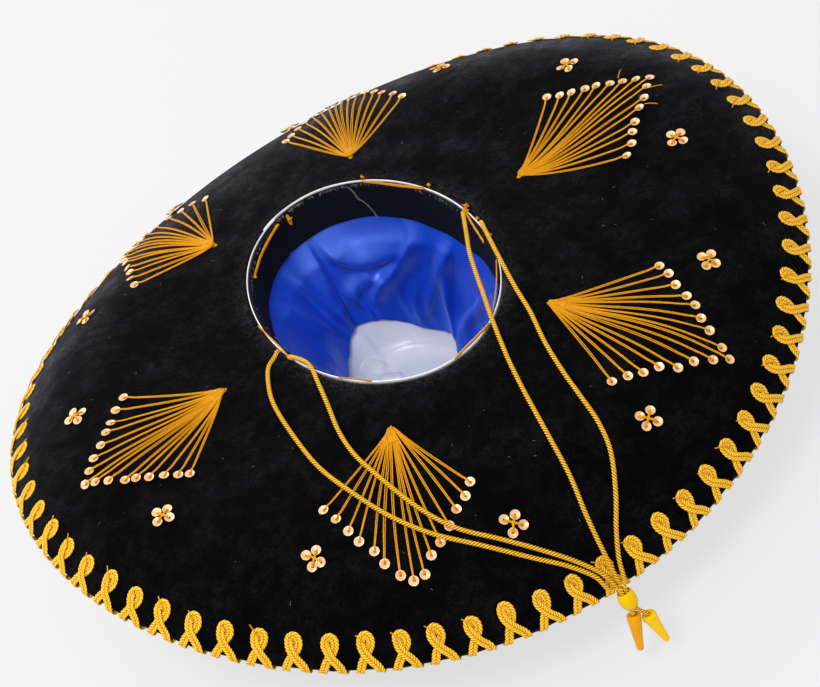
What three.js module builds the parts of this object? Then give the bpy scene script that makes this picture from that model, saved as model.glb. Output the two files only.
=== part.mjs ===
// A charro sombrero lying upside-down on its crown, in millimetres, +Z up, the ground at z = 0.
// +Y is the length of the head and X its width. The brim's underside and the head opening face up.
import * as THREE from 'three';
import { mergeVertices } from 'three/addons/utils/BufferGeometryUtils.js';

// Overall form
const CROWN_HEIGHT = 132; // from the crown's top, on the ground, to the plane of the head opening
const HEAD = { x: -4.4, y: 9.7, a: 78.1, b: 103 }; // head opening, an oval of 57 cm around
const CROWN_TOP = { x: -3, y: 6, a: 44, b: 55 };
const CROWN_TAPER = 1.6; // the wall stands steep at the opening and leans in towards the top
const RIM = { mean: 264.7, oval: 11.5 }; // brim radius: longest at the sides, shortest front and back

// The brim's curve: flat round the opening, then turned up towards the rim, most at front and back
const BRIM_FLAT = 119;
const BRIM_SPAN = 200;
const BRIM_BLEND = 0.05;
const BRIM_CURVE = { slope: 46.6, dish: -181.2, flare: 287.4, saddle: 54.9, lift: 26.1 };

// Thicknesses and the air left between layers
const VELVET = 1.2;
const CORE = 1.6;
const SHELL = 1.5;
const LINING = 0.6;
const AIR = 0.5;
const OUTER_GROWTH = 4.1; // crown cover's outer face, outside the opening's oval

// Embroidery
const FAN_CENTRE = { x: -2.1, y: 4.7 };
const FAN_APEX = 127.5;
const FAN_SIDE = { u: 178, v: 45.1 };
const FAN_TIP = 233.5;
const SEQUIN_RADIUS = 3.1;
const TRIM_LIFT = 1.3;
const TRIM_THICKNESS = 0.5;
const FLOWER_RING = 215;
const FLOWER_SWING = 16; // degrees either side of a fan's axis

// Rim braid
const LOOPS = 76;
const LOOP_REACH = 20;
const LOOP_NOTCH = 8;

// Cord, slider and cord tips
const CORD = 2.6;
const CORD_PACE = 0.55;
const STRAND = 1.5; // strand centres from the slider's axis, in a two by two bundle
const SLIDER = { radius: 5.65, half: 5.6, bore: 3.85 };
const SLIDER_CENTRE = new THREE.Vector3(-26.4, -261.6, CROWN_HEIGHT - 73.3);
const SLIDER_AXIS = new THREE.Vector3(0, -0.4, -0.9165).normalize();
const TIP = { base: 4.1, end: 1.75, length: 25, bore: 1.75, boreDepth: 6 };
const TIP_BASES = {
  left: new THREE.Vector3(-27.8, -265.1, CROWN_HEIGHT - 84.3),
  right: new THREE.Vector3(-20.4, -268.4, CROWN_HEIGHT - 88.4),
};
const TIP_DIRECTIONS = {
  left: new THREE.Vector3(-0.26, -0.3, -0.92).normalize(),
  right: new THREE.Vector3(0.13, -0.3, -0.95).normalize(),
};

const FINISHES = {
  velvet: { color: 0x0f0e12, roughness: 0.95, metalness: 0 },
  core: { color: 0x6d5f4c, roughness: 0.9, metalness: 0 },
  shell: { color: 0xdfe2e6, roughness: 0.35, metalness: 0 },
  satin: { color: 0x0b3fae, roughness: 0.35, metalness: 0 },
  band: { color: 0x14141f, roughness: 0.7, metalness: 0 },
  edge: { color: 0xececec, roughness: 0.4, metalness: 0 },
  thread: { color: 0xe89412, roughness: 0.6, metalness: 0 },
  sequin: { color: 0xf3c9a0, roughness: 0.25, metalness: 0.6 },
  braid: { color: 0xd9a024, roughness: 0.4, metalness: 0.7 },
  cord: { color: 0xe5aa22, roughness: 0.5, metalness: 0.4 },
  plastic: { color: 0xe8b400, roughness: 0.3, metalness: 0 },
};

const group = new THREE.Group();

function add(name, geometry, finish) {
  geometry.deleteAttribute('normal');
  geometry.deleteAttribute('uv');
  const merged = mergeVertices(geometry, 1e-4);
  const corners = merged.index.array;
  const kept = [];
  const [a, b, c] = [new THREE.Vector3(), new THREE.Vector3(), new THREE.Vector3()];
  let volume = 0;
  for (let i = 0; i < corners.length; i += 3) {
    const [p, q, r] = corners.slice(i, i + 3);
    if (p === q || q === r || r === p) continue;
    kept.push(p, q, r);
    a.fromBufferAttribute(merged.attributes.position, p);
    b.fromBufferAttribute(merged.attributes.position, q);
    c.fromBufferAttribute(merged.attributes.position, r);
    volume += a.dot(b.cross(c));
  }
  if (volume < 0) kept.reverse();
  merged.setIndex(kept);
  const faces = merged.toNonIndexed();
  faces.computeVertexNormals();
  const mesh = new THREE.Mesh(faces, new THREE.MeshStandardMaterial(FINISHES[finish]));
  mesh.name = name;
  group.add(mesh);
}

// A closed outline carried round the hat: each outline entry goes where place(entry, angle) says.
// Entries listed backwards are marked back, so that facing layers split their facets alike.
function turned(outline, segments, place) {
  const count = outline.length;
  const marks = outline.map((entry, i) => new THREE.Vector2(entry.axis ? 0 : 1, i));
  const geometry = new THREE.LatheGeometry(marks, segments);
  const position = geometry.attributes.position;
  for (let i = 0; i < position.count; i++) {
    const turn = Math.floor(i / count) % segments;
    const point = place(outline[i % count], (turn / segments) * 2 * Math.PI, turn);
    position.setXYZ(i, point.x, point.y, point.z);
  }
  const corners = [];
  for (let a = 0; a < segments * count; a++) {
    if (a % count === count - 1) continue;
    const [b, c, d] = [a + count, a + count + 1, a + 1];
    corners.push(...(outline[a % count].back ? [a, b, c, c, d, a] : [a, b, d, c, d, b]));
  }
  geometry.setIndex(corners);
  return geometry;
}

const backwards = (entries) => entries.map((entry) => ({ ...entry, back: true })).reverse();

// How far the brim's underside lies below the opening's plane
function brimDrop(radius, angle) {
  const raw = (radius - BRIM_FLAT) / BRIM_SPAN;
  const t = (raw + Math.hypot(raw, BRIM_BLEND)) / 2;
  const { slope, dish, flare, saddle, lift } = BRIM_CURVE;
  const side = Math.cos(2 * angle);
  return slope * t + dish * t ** 2 + flare * t ** 3 - (saddle * t ** 2 + lift * t ** 3) * side;
}

function brimPoint(x, y, depth = 0) {
  const drop = brimDrop(Math.hypot(x, y), Math.atan2(y, x));
  return new THREE.Vector3(x, y, CROWN_HEIGHT - drop - depth);
}

function brimNormal(x, y) {
  const step = 0.5;
  const alongX = brimPoint(x + step, y).sub(brimPoint(x - step, y));
  const alongY = brimPoint(x, y + step).sub(brimPoint(x, y - step));
  return alongX.cross(alongY).normalize();
}

// A point that stands above the brim's velvet, square to it
function above(x, y, lift) {
  return brimPoint(x, y).addScaledVector(brimNormal(x, y), lift);
}

function rimRadius(angle) {
  return RIM.mean + RIM.oval * Math.cos(2 * angle);
}

function headPoint(angle, offset, z, taper = 1) {
  const x = HEAD.x + (HEAD.a * taper + offset) * Math.cos(angle);
  const y = HEAD.y + (HEAD.b * taper + offset) * Math.sin(angle);
  return new THREE.Vector3(x, y, z);
}

// ---- Brim: core and two velvet covers ----
const BRIM_SEGMENTS = 40;
const BRIM_CIRCLES = [128, 146, 170, 194, 215, 236];

function brimStation({ edge, mix, radius, rim, depth }, angle) {
  const [c, s] = [Math.cos(angle), Math.sin(angle)];
  const last = BRIM_CIRCLES.at(-1);
  if (edge !== undefined) {
    const inner = headPoint(angle, edge, 0);
    const x = inner.x + (BRIM_CIRCLES[0] * c - inner.x) * mix;
    const y = inner.y + (BRIM_CIRCLES[0] * s - inner.y) * mix;
    return brimPoint(x, y, depth);
  }
  const r = rim === undefined ? radius : last + (rimRadius(angle) - last) * rim;
  return brimPoint(r * c, r * s, depth);
}

function brimLayer(edge, top, bottom) {
  const stations = [{ edge, mix: 0 }, { edge, mix: 0.5 }];
  BRIM_CIRCLES.forEach((radius) => stations.push({ radius }));
  stations.push({ rim: 0.5 }, { rim: 1 });
  const upper = stations.map((station) => ({ ...station, depth: top }));
  const lower = backwards(stations.map((station) => ({ ...station, depth: bottom })));
  return turned([...upper, ...lower, upper[0]], BRIM_SEGMENTS, brimStation);
}

const BRIM_EDGE = 0.9;
const coreTop = VELVET + AIR;
const coreBottom = coreTop + CORE;
const outerTop = coreBottom + AIR;
const outerBottom = outerTop + VELVET;
add('brim_velvet_underside', brimLayer(BRIM_EDGE, 0, VELVET), 'velvet');
add('brim_core', brimLayer(BRIM_EDGE, coreTop, coreBottom), 'core');
add('brim_velvet_outer', brimLayer(OUTER_GROWTH + 0.9, outerTop, outerBottom), 'velvet');

// ---- Crown: moulded shell, velvet cover, satin lining ----
const CROWN_SEGMENTS = 32;
const CROWN_EDGE = outerBottom + 0.6;
const CROWN_DEPTHS = [28, 52, 76, 98, 114];

// Four thumb dents are pressed into the wall near the crown's top.
function pinch(angle, depth) {
  const round = Math.max(0, Math.cos(4 * angle + Math.PI)) ** 2;
  return 4 * round * Math.exp(-(((depth - 92) / 20) ** 2));
}

// skin: how far this face lies inside the cover's outer face
function crownPoint({ axis, depth, inset, skin }, angle) {
  const sink = (Math.min(depth, CROWN_HEIGHT) / CROWN_HEIGHT) ** CROWN_TAPER;
  const blend = (from, to) => from + (to - from) * sink;
  const growth = OUTER_GROWTH - skin - inset - pinch(angle, depth);
  const a = blend(HEAD.a, CROWN_TOP.a) + growth;
  const b = blend(HEAD.b, CROWN_TOP.b) + growth;
  const x = blend(HEAD.x, CROWN_TOP.x);
  const y = blend(HEAD.y, CROWN_TOP.y);
  const z = CROWN_HEIGHT - depth + skin * sink ** 8;
  if (axis) return new THREE.Vector3(x, y, z);
  return new THREE.Vector3(x + a * Math.cos(angle), y + b * Math.sin(angle), z);
}

function crownFace(skin, edge) {
  return [
    { depth: edge, inset: 0, skin },
    ...CROWN_DEPTHS.map((depth) => ({ depth, inset: 0, skin })),
    { depth: 125, inset: 1.5, skin },
    { depth: 130.5, inset: 6, skin },
    { depth: CROWN_HEIGHT, inset: 13, skin },
    { depth: CROWN_HEIGHT, inset: 0, skin, axis: true },
  ];
}

function crownLayer(skin, thickness) {
  const outer = backwards(crownFace(skin, CROWN_EDGE));
  const inner = crownFace(skin + thickness, CROWN_EDGE);
  return turned([...outer, ...inner], CROWN_SEGMENTS, crownPoint);
}

const shellSkin = VELVET + AIR;
const liningSkin = shellSkin + SHELL + 1;
add('crown_velvet', crownLayer(0, VELVET), 'velvet');
add('crown_shell', crownLayer(shellSkin, SHELL), 'shell');

const LINING_DEPTHS = [14, 32, 52, 72, 92];
const liningOuter = LINING_DEPTHS.map((depth) => ({ depth, inset: 0, skin: liningSkin }));
const liningInner = backwards(liningOuter.map((entry) => ({ ...entry, skin: liningSkin + LINING })));
add('crown_lining', turned([...liningOuter, ...liningInner, liningOuter[0]], 32, crownPoint), 'satin');

// ---- Head opening: stiff edge ring, sweatband, whip stitches ----
const RING = { inner: -1.4, outer: 0.4, top: 1.5, deep: 5 };
const BAND = { inner: -3, outer: -1.8, top: 0.3, deep: 30, taper: 0.955 };

function hoop(inner, outer, top, deep, taper, stations) {
  const face = (offset) => stations.map((f) => ({ offset, z: top - (top + deep) * f, f }));
  const entries = [...face(outer), ...face(inner).reverse()];
  const place = ({ offset, z, f }, angle) =>
    headPoint(angle, offset, CROWN_HEIGHT + z, 1 - (1 - taper) * f);
  return turned([...entries, entries[0]], 48, place);
}

add('head_ring', hoop(RING.inner, RING.outer, RING.top, RING.deep, 1, [0, 1]), 'edge');
add('sweatband', hoop(BAND.inner, BAND.outer, BAND.top, BAND.deep, BAND.taper, [0, 0.5, 1]), 'band');

const STITCHES = 24;
const STITCH_RADIUS = 0.35;
const STITCH_STOPS = [[3.4, 0.9], [-0.6, 3], [-5.8, -0.8], [-0.6, 3]]; // offset and height, in turn
const stitchOutline = [[1, 0], [0, 1], [-1, 0], [0, -1], [1, 0]].map(([across, up]) => ({ across, up }));
add('edge_stitching', turned(stitchOutline, STITCHES * 4, ({ across, up }, angle, turn) => {
  const [offset, height] = STITCH_STOPS[turn % 4];
  const z = CROWN_HEIGHT + height + up * STITCH_RADIUS;
  return headPoint(angle, offset + across * STITCH_RADIUS, z);
}), 'thread');

// ---- Hatband cord round the crown's foot ----
const HATBAND = { radius: 2, depth: outerBottom + 3, growth: OUTER_GROWTH + 2.4 };
const hatbandOutline = Array.from({ length: 7 }, (_, i) => ({ turn: (i / 6) * 2 * Math.PI }));
add('hatband_cord', turned(hatbandOutline, CROWN_SEGMENTS, ({ turn }, angle) => {
  const offset = HATBAND.growth + HATBAND.radius * Math.cos(turn);
  return headPoint(angle, offset, CROWN_HEIGHT - HATBAND.depth + HATBAND.radius * Math.sin(turn));
}), 'braid');

// ---- Rim braid: a folded trim whose inner edge is a row of loops ----
const BRAID = { under: 0.9, over: 2.2, wall: 1, thickness: 1.3 };

function inwardAlongBrim(angle, distance) {
  let radius = rimRadius(angle);
  for (let gone = 0; gone < distance; gone++) {
    const fall = brimDrop(radius, angle) - brimDrop(radius - 1, angle);
    radius -= 1 / Math.hypot(1, fall);
  }
  return radius;
}

function braidPoint({ reach, height, wall, z }, angle, turn) {
  if (wall !== undefined) {
    const rim = rimRadius(angle);
    const edge = CROWN_HEIGHT - brimDrop(rim, angle);
    return new THREE.Vector3((rim + wall) * Math.cos(angle), (rim + wall) * Math.sin(angle), edge + z);
  }
  const loop = turn % 2 ? LOOP_NOTCH : LOOP_REACH;
  const radius = inwardAlongBrim(angle, loop * reach);
  const [x, y] = [radius * Math.cos(angle), radius * Math.sin(angle)];
  return brimPoint(x, y, -height / brimNormal(x, y).z);
}

const braidOutline = [
  { reach: 1, height: BRAID.over },
  { reach: 0.4, height: BRAID.over },
  { wall: BRAID.wall + BRAID.thickness, z: 1.6 },
  { wall: BRAID.wall + BRAID.thickness, z: -outerBottom - 1 },
  { wall: BRAID.wall, z: -outerBottom - 1 },
  { wall: BRAID.wall, z: 0.5 },
  { reach: 0.4, height: BRAID.under },
  { reach: 1, height: BRAID.under },
];
add('rim_braid', turned([...braidOutline, braidOutline[0]], LOOPS * 2, braidPoint), 'braid');

// ---- Embroidered fans and sequin flowers on the brim's underside ----
// Hand sewn, so each fan is a little off its even place: degrees round, apex and rim end in mm.
const FANS = {
  right: { angle: 0, slip: 0, apex: -7.8, push: -1.1 },
  back_right: { angle: 60, slip: 4.7, apex: 0.5, push: 0 },
  back_left: { angle: 120, slip: -4.7, apex: 9.5, push: 0 },
  left: { angle: 180, slip: -0.4, apex: -1.8, push: -2 },
  front_left: { angle: 240, slip: -1.2, apex: 3.2, push: 0.5 },
  front_right: { angle: 300, slip: 0, apex: -2.7, push: 2.6 },
};
const RAYS = 16;
const TIP_RAY = 7;
const FAN_ROWS = [0, 0.4, 0.62, 0.82, 1];
const RAY_NOTCH = 0.93; // the gap between two sequins starts this far along the rays

function sequinSpot(ray) {
  const side = ray <= TIP_RAY ? -1 : 1;
  const f = ray <= TIP_RAY ? ray / TIP_RAY : (RAYS - 1 - ray) / (RAYS - 1 - TIP_RAY);
  return { u: FAN_SIDE.u + (FAN_TIP - FAN_SIDE.u) * f, v: side * FAN_SIDE.v * (1 - f) };
}

function onFan(fan, u, v, lift) {
  const angle = THREE.MathUtils.degToRad(fan.angle + fan.slip);
  const x = FAN_CENTRE.x + u * Math.cos(angle) - v * Math.sin(angle);
  const y = FAN_CENTRE.y + u * Math.sin(angle) + v * Math.cos(angle);
  return above(x, y, lift);
}

function fanPlate(fan) {
  const columns = RAYS * 2 - 2;
  const geometry = new THREE.BoxGeometry(1, 1, 1, columns, FAN_ROWS.length - 1, 1);
  const position = geometry.attributes.position;
  for (let i = 0; i < position.count; i++) {
    const column = Math.round((position.getX(i) + 0.5) * columns);
    const row = Math.round((position.getY(i) + 0.5) * (FAN_ROWS.length - 1));
    const [near, far] = [sequinSpot(Math.floor(column / 2)), sequinSpot(Math.ceil(column / 2))];
    const start = { u: FAN_APEX + fan.apex, v: (column / columns - 0.5) * 3 };
    const end = { u: (near.u + far.u) / 2 + fan.push, v: (near.v + far.v) / 2 };
    const length = Math.hypot(end.u - start.u, end.v - start.v);
    const reach = column % 2 ? RAY_NOTCH : 1 + SEQUIN_RADIUS / length;
    const f = FAN_ROWS[row] * reach;
    const lift = TRIM_LIFT + (position.getZ(i) > 0 ? TRIM_THICKNESS : 0);
    const spot = onFan(fan, start.u + (end.u - start.u) * f, start.v + (end.v - start.v) * f, lift);
    position.setXYZ(i, spot.x, spot.y, spot.z);
  }
  return geometry;
}

function flowerPlate(fan, swing) {
  const petals = 16;
  const shape = new THREE.Shape(Array.from({ length: petals }, (_, i) => {
    const turn = (i / petals) * 2 * Math.PI;
    const radius = [8, 6.4, 3, 6.4][i % 4];
    return new THREE.Vector2(radius * Math.cos(turn), radius * Math.sin(turn));
  }));
  const geometry = new THREE.ExtrudeGeometry(shape, { depth: TRIM_THICKNESS, bevelEnabled: false });
  const angle = THREE.MathUtils.degToRad(fan.angle + swing);
  const x = FAN_CENTRE.x + FLOWER_RING * Math.cos(angle);
  const y = FAN_CENTRE.y + FLOWER_RING * Math.sin(angle);
  const upright = new THREE.Vector3(0, 0, 1);
  geometry.applyQuaternion(new THREE.Quaternion().setFromUnitVectors(upright, brimNormal(x, y)));
  const seat = above(x, y, TRIM_LIFT);
  geometry.translate(seat.x, seat.y, seat.z);
  return geometry;
}

for (const [name, fan] of Object.entries(FANS)) {
  add(`fan_${name}`, fanPlate(fan), 'thread');
  add(`flower_${name}_a`, flowerPlate(fan, -FLOWER_SWING), 'sequin');
  add(`flower_${name}_b`, flowerPlate(fan, FLOWER_SWING), 'sequin');
}

// ---- Chin cord: four strands from the opening, over the rim, into the slider ----
// Each point is x, y and its height square above the brim's velvet.
// Points over the opening are given with air: true and stand above the opening's plane instead.
const acrossSlider = new THREE.Vector3(1, 0, 0);
const throughSlider = new THREE.Vector3().crossVectors(SLIDER_AXIS, acrossSlider);

function inSlider(along, side, outward) {
  return SLIDER_CENTRE.clone()
    .addScaledVector(SLIDER_AXIS, along)
    .addScaledVector(acrossSlider, side * STRAND)
    .addScaledVector(throughSlider, outward * STRAND);
}

const STRANDS = {
  left_outer: {
    side: -1,
    outward: 1,
    air: [],
    brim: [[-88.5, 0, 2.3], [-96, -4, 2.3], [-105, -18, 2.3], [-111, -34, 2.3], [-117, -75, 2.3],
      [-118, -98, 2.4], [-115, -125, 3.7], [-107, -157, 3.8], [-95, -180.5, 3.8], [-76, -203, 3.8],
      [-57, -222.6, 4.2], [-44, -234, 4.5], [-34.5, -244, 5], [-31.6, -251, 5.7]],
  },
  left_inner: {
    side: -1,
    outward: -1,
    air: [[-71, -11, -2.5], [-75, -15, 4.2], [-77, -27, 5.4]],
    brim: [[-81.5, -43, 4.6], [-87, -61.5, 2.6], [-94, -85, 2.4], [-97, -106, 3.2], [-96.5, -124, 3.8],
      [-91, -165, 3.8], [-82, -187, 3.8], [-66, -206, 3.8], [-52, -221, 4.2], [-38.5, -235, 4.6],
      [-30, -245, 4.8], [-27.8, -251, 4.9]],
  },
  right_inner: {
    side: 1,
    outward: -1,
    air: [[66, 4, -2], [60.6, -10, 2.4], [51, -28, 3], [42, -48, 3.6], [35, -65, 4.6], [26.5, -85, 5.4]],
    brim: [[19, -104, 2.7], [12.5, -121.5, 2.4], [5, -146, 2.4], [-4, -179.5, 2.6], [-10.5, -204, 3.2],
      [-18, -224, 4.3], [-22.5, -240, 4.7], [-24.7, -251, 4.9]],
  },
  right_outer: {
    side: 1,
    outward: 1,
    air: [[63, -8, -2.5], [67.5, -17, 3.8], [65.5, -29, 5.4], [60, -50, 5.4]],
    brim: [[52, -77, 3.4], [46, -100, 2.5], [37.5, -125, 2.4], [31.5, -150, 2.4], [28, -170, 2.4],
      [24.5, -190, 2.8], [18.5, -206, 3.2], [4, -224, 4.2], [-9, -236, 4.6], [-17.5, -245, 5],
      [-21.4, -251, 5.6]],
  },
};

function roundCord(points, steps) {
  const curve = new THREE.CatmullRomCurve3(points, false, 'centripetal');
  const section = new THREE.Shape(Array.from({ length: 8 }, (_, i) => {
    const turn = ((i + 0.5) / 8) * 2 * Math.PI;
    return new THREE.Vector2(Math.cos(turn), Math.sin(turn)).multiplyScalar(CORD / 2);
  }));
  // Steps are short at both ends, where the cord bends most, and long between them.
  const pace = (u) => u + CORD_PACE * u * (3 * u - 2 * u * u - 1);
  const paced = Object.create(curve);
  paced.getPointAt = (u, target) => curve.getPointAt(pace(u), target);
  paced.getTangentAt = (u, target) => curve.getTangentAt(pace(u), target);
  return new THREE.ExtrudeGeometry(section, { steps, extrudePath: paced, bevelEnabled: false });
}

for (const [name, { side, outward, air, brim }] of Object.entries(STRANDS)) {
  const points = [
    ...air.map(([x, y, z]) => new THREE.Vector3(x, y, CROWN_HEIGHT + z)),
    ...brim.map(([x, y, lift]) => above(x, y, lift)),
    inSlider(-SLIDER.half - 3.4, side, outward),
    inSlider(-SLIDER.half - 2.2, side, outward),
    inSlider(-SLIDER.half, side, outward),
    inSlider(SLIDER.half - 1.2, side, outward),
  ];
  add(`chin_cord_${name}`, roundCord(points, 28), 'cord');
}

// ---- Slider bead, and the two cord tips on their tails ----
function turnedAlong(profile, segments, start, direction) {
  const geometry = new THREE.LatheGeometry(profile.map(([x, y]) => new THREE.Vector2(x, y)), segments);
  const up = new THREE.Vector3(0, 1, 0);
  geometry.applyQuaternion(new THREE.Quaternion().setFromUnitVectors(up, direction));
  geometry.translate(start.x, start.y, start.z);
  return geometry;
}

const BEAD_TILT = 48; // degrees up its round side to the edge of its flat mouth
const beadOutside = Array.from({ length: 7 }, (_, i) => {
  const tilt = THREE.MathUtils.degToRad(BEAD_TILT * (i / 3 - 1));
  const most = Math.sin(THREE.MathUtils.degToRad(BEAD_TILT));
  return [SLIDER.radius * Math.cos(tilt) + 0.25, (SLIDER.half * Math.sin(tilt)) / most];
});
const beadProfile = [...beadOutside, [SLIDER.bore, SLIDER.half], [SLIDER.bore, -SLIDER.half], beadOutside[0]];
add('cord_slider', turnedAlong(beadProfile, 20, SLIDER_CENTRE, SLIDER_AXIS), 'plastic');

const tipProfile = [
  [0, TIP.boreDepth],
  [TIP.bore, TIP.boreDepth],
  [TIP.bore, 0],
  [TIP.base - 0.5, 0],
  [TIP.base, 1],
  [TIP.base - 0.2, 4],
  [TIP.end + 0.3, TIP.length - 2],
  [TIP.end - 0.5, TIP.length],
  [0, TIP.length],
];
for (const [side, sign] of [['left', -1], ['right', 1]]) {
  const base = TIP_BASES[side];
  const direction = TIP_DIRECTIONS[side];
  add(`cord_tip_${side}`, turnedAlong(tipProfile, 16, base, direction), 'plastic');
  const points = [
    inSlider(SLIDER.half + 0.4, sign, 1),
    inSlider(SLIDER.half + 2, sign, 1),
    base.clone().addScaledVector(direction, 0.5),
    base.clone().addScaledVector(direction, 4.5),
  ];
  add(`cord_tail_${side}`, roundCord(points, 4), 'cord');
}

export default group;
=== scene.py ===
# The looks of a charro sombrero that lies upside-down on its crown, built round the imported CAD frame.
# Shapes are in millimetres in the frame's own axes and become metres in Shape.grid.
import math

import bpy
import numpy as np
from mathutils import Matrix, Vector


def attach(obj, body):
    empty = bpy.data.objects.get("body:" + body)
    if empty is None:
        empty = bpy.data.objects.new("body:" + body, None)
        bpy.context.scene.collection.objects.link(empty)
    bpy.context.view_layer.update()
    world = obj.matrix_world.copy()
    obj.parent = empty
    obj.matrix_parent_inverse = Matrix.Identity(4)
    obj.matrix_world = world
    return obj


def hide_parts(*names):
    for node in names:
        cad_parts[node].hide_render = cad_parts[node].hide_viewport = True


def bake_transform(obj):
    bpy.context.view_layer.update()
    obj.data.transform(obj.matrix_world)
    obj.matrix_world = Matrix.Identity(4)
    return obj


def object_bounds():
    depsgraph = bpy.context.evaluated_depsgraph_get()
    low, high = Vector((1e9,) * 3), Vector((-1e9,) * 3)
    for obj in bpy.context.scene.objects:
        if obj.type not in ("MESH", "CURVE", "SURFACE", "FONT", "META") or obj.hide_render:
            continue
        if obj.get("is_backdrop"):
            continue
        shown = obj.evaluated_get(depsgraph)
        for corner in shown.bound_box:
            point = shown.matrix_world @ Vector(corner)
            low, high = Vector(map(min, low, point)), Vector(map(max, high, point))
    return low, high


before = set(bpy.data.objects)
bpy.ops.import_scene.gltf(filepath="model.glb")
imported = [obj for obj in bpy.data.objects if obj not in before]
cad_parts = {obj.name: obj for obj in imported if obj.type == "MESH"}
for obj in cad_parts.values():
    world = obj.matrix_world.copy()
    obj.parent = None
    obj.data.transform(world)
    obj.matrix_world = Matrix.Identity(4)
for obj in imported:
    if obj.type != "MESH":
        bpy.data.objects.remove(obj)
scene = bpy.context.scene
cad_box = [[float(v) for v in corner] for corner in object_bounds()]
rng = np.random.default_rng(7)
MM = 0.001
TURN = 2 * math.pi

# ---- the frame's driving sizes, as in the CAD
HEIGHT = 132.0  # crown top, on the ground, to the plane of the head opening
HEAD = dict(x=-4.4, y=9.7, a=78.1, b=103.0)
CROWN_TOP = dict(x=-3.0, y=6.0, a=44.0, b=55.0)
CROWN_TAPER = 1.6
OUTER_GROWTH = 4.1  # crown cover outside the opening's oval
SHELL_INSIDE = 3.2  # white shell's inner face, inside the cover's outer face
LINING_OUTSIDE = 4.2  # and the lining's back
BRIM_STACK = 5.0  # both velvets, the core and the air between them
FAN_CENTRE = np.array([-2.1, 4.7])
FAN_APEX, FAN_SIDE, FAN_TIP = 127.5, (178, 45.1), 233.5
FANS = {  # angle round the brim, slip in degrees, and how far the apex and the rim end are off, in mm
    "right": (0, 0, -7.8, -1.1),
    "back_right": (60, 4.7, 0.5, 0),
    "back_left": (120, -4.7, 9.5, 0),
    "left": (180, -0.4, -1.8, -2),
    "front_left": (240, -1.2, 3.2, 0.5),
    "front_right": (300, 0, -2.7, 2.6),
}
FLOWER_RING, FLOWER_SWING = 215.0, 16
CORD, STRAND = 2.6, 1.5  # cord diameter, and a strand's centre from the bead's axis
BEAD_HALF, BEAD_BORE = 5.6, 3.85
BEAD = np.array([-26.4, -261.6, HEIGHT - 73.3])
BEAD_AXIS = np.array([0, -0.4, -0.9165]) / math.hypot(0.4, 0.9165)
ACROSS = np.array([1.0, 0, 0])
THROUGH = np.cross(BEAD_AXIS, ACROSS)
TIPS = {  # where each cone starts and the way it points
    "left": (np.array([-27.8, -265.1, HEIGHT - 84.3]), np.array([-0.26, -0.3, -0.92])),
    "right": (np.array([-20.4, -268.4, HEIGHT - 88.4]), np.array([0.13, -0.3, -0.95])),
}


def unit(v):
    v = np.asarray(v, float)
    return v / np.maximum(np.linalg.norm(v, axis=-1, keepdims=True), 1e-12)


def climb(x, start, span):
    """0 up to start, 1 from start + span on."""
    return np.clip((x - start) / span, 0, 1)


def fall(x, end, span):
    """1 up to end - span, 0 from end on."""
    return np.clip((end - x) / span, 0, 1)


def bell(x):
    return np.exp(-(x**2))


def apart(a, b):
    """How many degrees a lies past b, from -180 to 180."""
    return (a - b + 180) % 360 - 180


def circle(count):
    return np.arange(count) / count * TURN


def compass(angle):
    return np.stack([np.cos(angle), np.sin(angle)], -1)


def spokes(turn, side, top):
    """Unit vectors that turn from side towards top."""
    return side * np.cos(turn)[:, None] + top * np.sin(turn)[:, None]


def brim(x, y, lift=0.0):
    """Points at that height square above the underside velvet, and the velvet's normals there."""

    def height(x, y):
        raw = (np.hypot(x, y) - 119) / 200
        t = (raw + np.hypot(raw, 0.05)) / 2
        saddle = (54.9 * t**2 + 26.1 * t**3) * np.cos(2 * np.arctan2(y, x))
        return HEIGHT - (46.6 * t - 181.2 * t**2 + 287.4 * t**3 - saddle)

    x, y = np.broadcast_arrays(np.asarray(x, float), np.asarray(y, float))
    slope_x = height(x + 0.5, y) - height(x - 0.5, y)
    slope_y = height(x, y + 0.5) - height(x, y - 0.5)
    normal = unit(np.stack([-slope_x, -slope_y, np.ones_like(slope_x)], -1))
    return np.stack([x, y, height(x, y)], -1) + normal * np.asarray(lift)[..., None], normal


def brim_polar(radius, angle, lift=0.0):
    return brim(radius * np.cos(angle), radius * np.sin(angle), lift)


def rim_radius(angle):
    return 264.7 + 11.5 * np.cos(2 * angle)


def head_oval(angle, offset, z, taper=1.0):
    x = HEAD["x"] + (HEAD["a"] * taper + offset) * np.cos(angle)
    y = HEAD["y"] + (HEAD["b"] * taper + offset) * np.sin(angle)
    return np.stack(np.broadcast_arrays(x, y, HEIGHT + np.asarray(z, float)), -1)


def crown_wall(angle, depth, inside):
    """Points on the crown, that far inside the cover's outer face. Four thumb dents are pressed into it."""
    sink = np.minimum(np.maximum(depth, 0) / HEIGHT, 1) ** CROWN_TAPER
    corner = 1.5 * climb(depth, 119, 6) ** 2 + 4.5 * climb(depth, 125, 5.5) ** 2
    corner += 7 * climb(depth, 130.5, 1.5) ** 2
    pinch = 4 * np.maximum(0, np.cos(4 * angle + np.pi)) ** 2 * bell((depth - 92) / 20)
    grow = OUTER_GROWTH - inside - corner - pinch

    def between(key):
        return HEAD[key] + (CROWN_TOP[key] - HEAD[key]) * sink

    x = between("x") + (between("a") + grow) * np.cos(angle)
    y = between("y") + (between("b") + grow) * np.sin(angle)
    return np.stack(np.broadcast_arrays(x, y, HEIGHT - depth + inside * sink**8), -1)


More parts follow.
